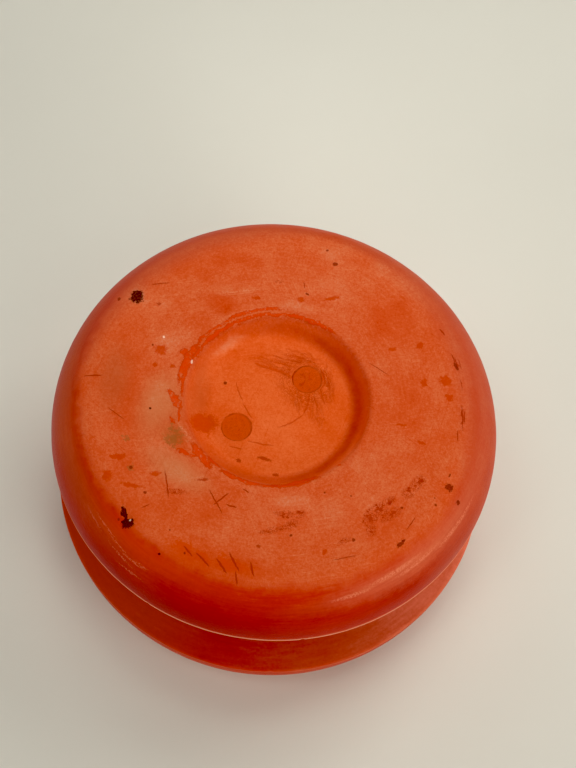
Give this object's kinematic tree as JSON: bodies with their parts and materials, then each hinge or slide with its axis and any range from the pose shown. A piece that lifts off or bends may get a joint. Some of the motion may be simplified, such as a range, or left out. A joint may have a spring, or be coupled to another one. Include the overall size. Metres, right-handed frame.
{
  "type": "yo-yo",
  "caption": "Plastic yo-yo with rounded halves on a short steel axle and a free-turning sleeve for the string loop.",
  "frame": {"origin": "middle of the axle, on the mid plane of the string gap", "axes": "+Z along the axle towards the upper half's outer face; X and Y in the mid plane"},
  "size_m": [0.057, 0.057, 0.0304],
  "materials": {
    "orange_plastic": "glossy moulded plastic, worn matte on the flat faces",
    "axle_steel": "drawn steel",
    "sleeve_nylon": "natural nylon",
    "washer_steel": "stamped steel"
  },
  "bodies": {
    "yoyo": {"upper_half": "orange_plastic", "lower_half": "orange_plastic", "axle_pin": "axle_steel", "upper_washer": "washer_steel", "lower_washer": "washer_steel"},
    "sleeve": {"axle_sleeve": "sleeve_nylon"}
  },
  "joints": [
    {"name": "sleeve_spin", "type": "hinge", "parent": "yoyo", "child": "sleeve", "pos_m": [0, 0, 0], "axis": [0, 0, 1], "continuous": true}
  ]
}
